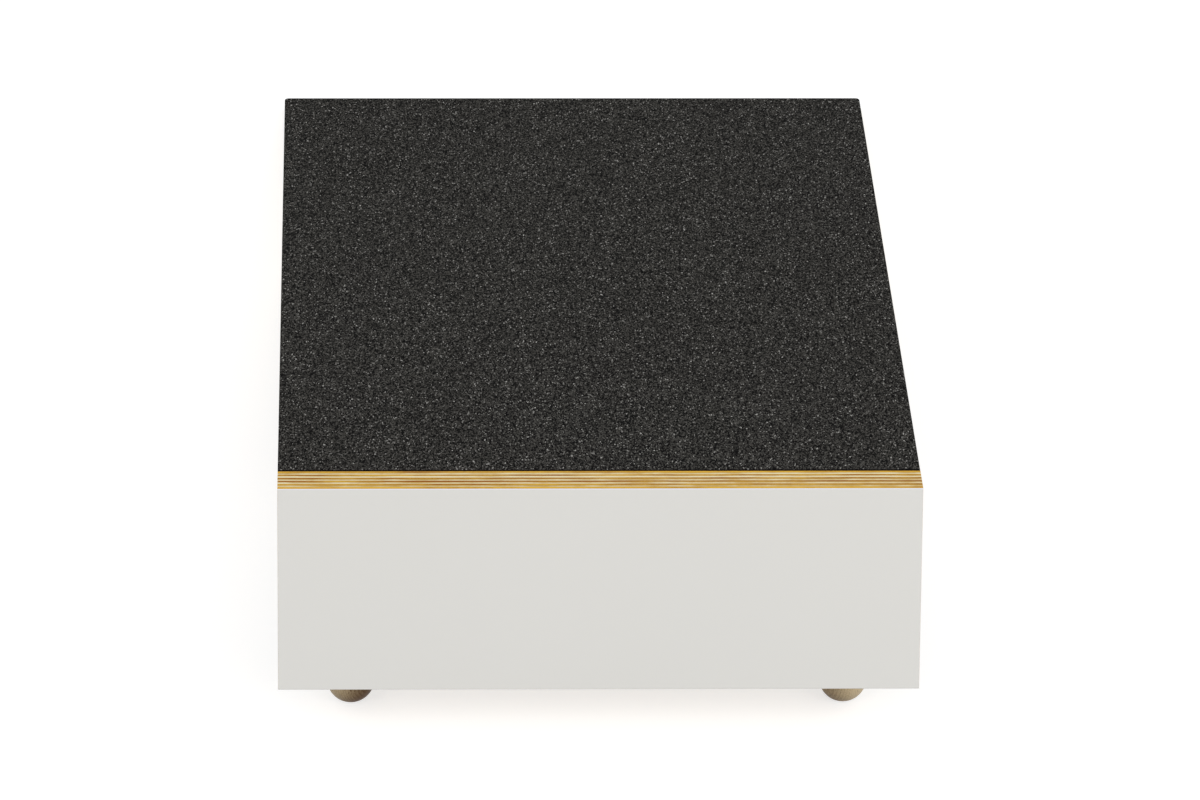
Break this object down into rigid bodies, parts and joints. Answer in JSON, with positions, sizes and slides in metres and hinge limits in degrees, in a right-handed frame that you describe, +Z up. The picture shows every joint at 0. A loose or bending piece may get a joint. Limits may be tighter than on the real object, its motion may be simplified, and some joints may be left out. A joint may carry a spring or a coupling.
{
  "type": "folding loading ramp",
  "caption": "Short wedge ramp: black grip deck on a white faced riser with ball feet; riser and mid leg fold flat under the deck together.",
  "frame": {"origin": "on the ground, under the middle of the ramp's bounding box", "axes": "+X across the ramp, +Y from the tall riser towards the toe, +Z up"},
  "size_m": [0.4, 0.7854, 0.1657],
  "materials": {
    "grip": "black rubber sheet with pale grey flecks, matt",
    "plywood": "lacquered plywood, plies showing at the edges",
    "timber": "planed softwood, clear lacquer",
    "laminate": "plain off-white laminate, satin",
    "backing": "black backing laminate, satin",
    "beech": "turned and stained beech, satin",
    "steel": "zinc plated steel",
    "magnet": "nickel plated steel cup",
    "rubber": "plain black rubber, matt"
  },
  "bodies": {
    "deck": {"grip_sheet": "grip", "deck_panel": "plywood", "front_batten": "timber", "mid_batten": "timber", "mid_bearer": "timber", "rear_batten": "timber", "toe_pad": "rubber", "riser_hinge_deck_leaf": "steel", "riser_hinge_pin": "steel", "leg_hinge_deck_leaf": "steel", "leg_hinge_pin": "steel", "side_rail_left": "timber", "side_rail_right": "timber", "ground_pad_left": "rubber", "ground_pad_right": "rubber", "cup_magnet_left": "magnet", "cup_magnet_right": "magnet"},
    "riser": {"riser_core": "plywood", "riser_front_laminate": "laminate", "riser_back_laminate": "backing", "riser_hinge_riser_leaf": "steel", "foot_rail": "timber", "ball_foot_left": "beech", "ball_foot_right": "beech", "foot_bolt_left": "steel", "foot_bolt_right": "steel", "keeper_left": "steel", "keeper_right": "steel", "riser_tie_bracket_left": "steel", "riser_tie_bracket_right": "steel", "riser_pivot_pin_left": "steel", "riser_pivot_pin_right": "steel"},
    "mid_leg": {"mid_leg_panel": "plywood", "leg_hinge_leg_leaf": "steel", "mid_leg_pad_left": "rubber", "mid_leg_pad_right": "rubber", "leg_tie_bracket_left": "steel", "leg_tie_bracket_right": "steel", "leg_pivot_pin_left": "steel", "leg_pivot_pin_right": "steel"},
    "tie_bar_left": {"tie_bar_left": "steel"},
    "tie_bar_right": {"tie_bar_right": "steel"}
  },
  "joints": [
    {"name": "riser_fold", "type": "hinge", "parent": "deck", "child": "riser", "pos_m": [0, -0.34245, 0.1042], "axis": [1, 0, 0], "range_deg": [0, 90]},
    {"name": "mid_leg_fold", "type": "hinge", "parent": "deck", "child": "mid_leg", "pos_m": [0, -0.10748, 0.05533], "axis": [1, 0, 0], "range_deg": [0, 90]},
    {"name": "tie_bar_left_pivot", "type": "hinge", "parent": "riser", "child": "tie_bar_left", "pos_m": [-0.1727, -0.34025, 0.07055], "axis": [1, 0, 0], "range_deg": [-90, 0]},
    {"name": "tie_bar_right_pivot", "type": "hinge", "parent": "riser", "child": "tie_bar_right", "pos_m": [0.1727, -0.34025, 0.07055], "axis": [1, 0, 0], "range_deg": [-90, 0]}
  ],
  "couplings": [
    {"joint": "mid_leg_fold", "follows": "riser_fold", "ratio": 1},
    {"joint": "tie_bar_left_pivot", "follows": "riser_fold", "ratio": -1},
    {"joint": "tie_bar_right_pivot", "follows": "riser_fold", "ratio": -1}
  ]
}
